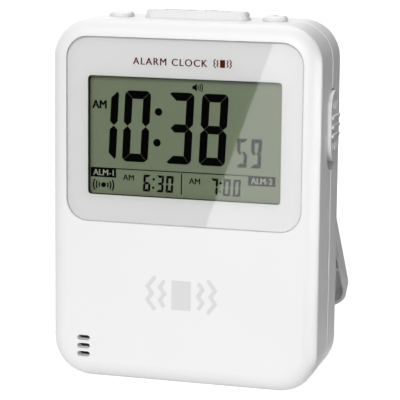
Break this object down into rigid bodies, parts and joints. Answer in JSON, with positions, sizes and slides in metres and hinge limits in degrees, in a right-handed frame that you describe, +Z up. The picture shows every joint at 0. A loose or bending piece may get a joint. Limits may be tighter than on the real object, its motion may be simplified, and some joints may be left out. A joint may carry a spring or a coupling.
{
  "type": "desk clock",
  "caption": "Upright desk clock with a flush display window, a top snooze bar and buttons, a side slide switch, a vibration alarm and a stand that folds out of the back.",
  "frame": {"origin": "middle of the flat base, halfway between the front and the back of the case", "axes": "+X to the right seen from the front, +Y to the back, +Z up"},
  "size_m": [0.0794, 0.0591, 0.1058],
  "materials": {
    "white_plastic": "fine satin moulded white ABS",
    "window_plastic": "clear polished acrylic",
    "mask_print": "light grey printed film",
    "lcd_glass": "olive liquid crystal panel",
    "guide_plastic": "milky light guide",
    "led_resin": "pale yellow resin",
    "holder_plastic": "white frame plastic",
    "zebra_rubber": "layered conductive rubber",
    "board_laminate": "green circuit laminate",
    "black_resin": "black moulded resin",
    "plunger_plastic": "grey moulded plastic",
    "steel": "plated steel",
    "cell_sleeve": "dark plain cell sleeve",
    "weight_brass": "machined brass",
    "lead_rubber": "insulated wire"
  },
  "bodies": {
    "case": {"front_shell": "white_plastic", "back_shell": "white_plastic", "display_window": "window_plastic", "display_mask": "mask_print", "lcd_glass": "lcd_glass", "light_guide": "guide_plastic", "backlight_led": "led_resin", "lcd_holder": "holder_plastic", "zebra_strip": "zebra_rubber", "main_board": "board_laminate", "controller_blob": "black_resin", "left_switch": "black_resin", "snooze_switch": "black_resin", "right_switch": "black_resin", "buzzer": "black_resin", "crystal_can": "steel", "slide_switch_housing": "steel", "battery_spring_upper": "steel", "battery_spring_lower": "steel", "battery_bridge": "steel", "battery_terminal_upper": "steel", "battery_terminal_lower": "steel", "vibration_motor": "steel", "motor_strap": "steel", "case_screw_upper_left": "steel", "case_screw_upper_right": "steel", "case_screw_lower_left": "steel", "case_screw_lower_right": "steel", "board_screw_upper_left": "steel", "board_screw_upper_right": "steel", "board_screw_lower_left": "steel", "board_screw_lower_right": "steel", "strap_screw_upper": "steel", "strap_screw_lower": "steel", "battery_upper": "cell_sleeve", "battery_lower": "cell_sleeve", "motor_lead": "lead_rubber", "buzzer_lead": "lead_rubber"},
    "snooze_key": {"snooze_bar": "white_plastic", "snooze_plunger": "plunger_plastic"},
    "left_key": {"left_button": "white_plastic", "left_plunger": "plunger_plastic"},
    "right_key": {"right_button": "white_plastic", "right_plunger": "plunger_plastic"},
    "side_switch": {"side_slider": "white_plastic", "slide_switch_lever": "black_resin"},
    "stand_leg": {"stand": "white_plastic"},
    "battery_cover": {"battery_door": "white_plastic"},
    "rotor": {"motor_shaft": "steel", "eccentric_weight": "weight_brass"}
  },
  "joints": [
    {"name": "snooze_press", "type": "slide", "parent": "case", "child": "snooze_key", "axis": [0, 0, -1], "range_m": [0, 0.0008], "stiffness_N_per_m": 600},
    {"name": "left_button_press", "type": "slide", "parent": "case", "child": "left_key", "axis": [0, 0, -1], "range_m": [0, 0.0008], "stiffness_N_per_m": 600},
    {"name": "right_button_press", "type": "slide", "parent": "case", "child": "right_key", "axis": [0, 0, -1], "range_m": [0, 0.0008], "stiffness_N_per_m": 600},
    {"name": "side_slide", "type": "slide", "parent": "case", "child": "side_switch", "axis": [0, 0, -1], "range_m": [0, 0.002]},
    {"name": "stand_fold", "type": "hinge", "parent": "case", "child": "stand_leg", "pos_m": [0, 0.0116, 0.04985], "axis": [-1, 0, 0], "range_deg": [0, 41.5]},
    {"name": "battery_door_swing", "type": "hinge", "parent": "case", "child": "battery_cover", "pos_m": [0.00005, 0.01365, 0.06205], "axis": [-1, 0, 0], "range_deg": [0, 50]},
    {"name": "motor_spin", "type": "hinge", "parent": "case", "child": "rotor", "pos_m": [0.01, -0.00215, 0.02295], "axis": [1, 0, 0], "continuous": true}
  ]
}
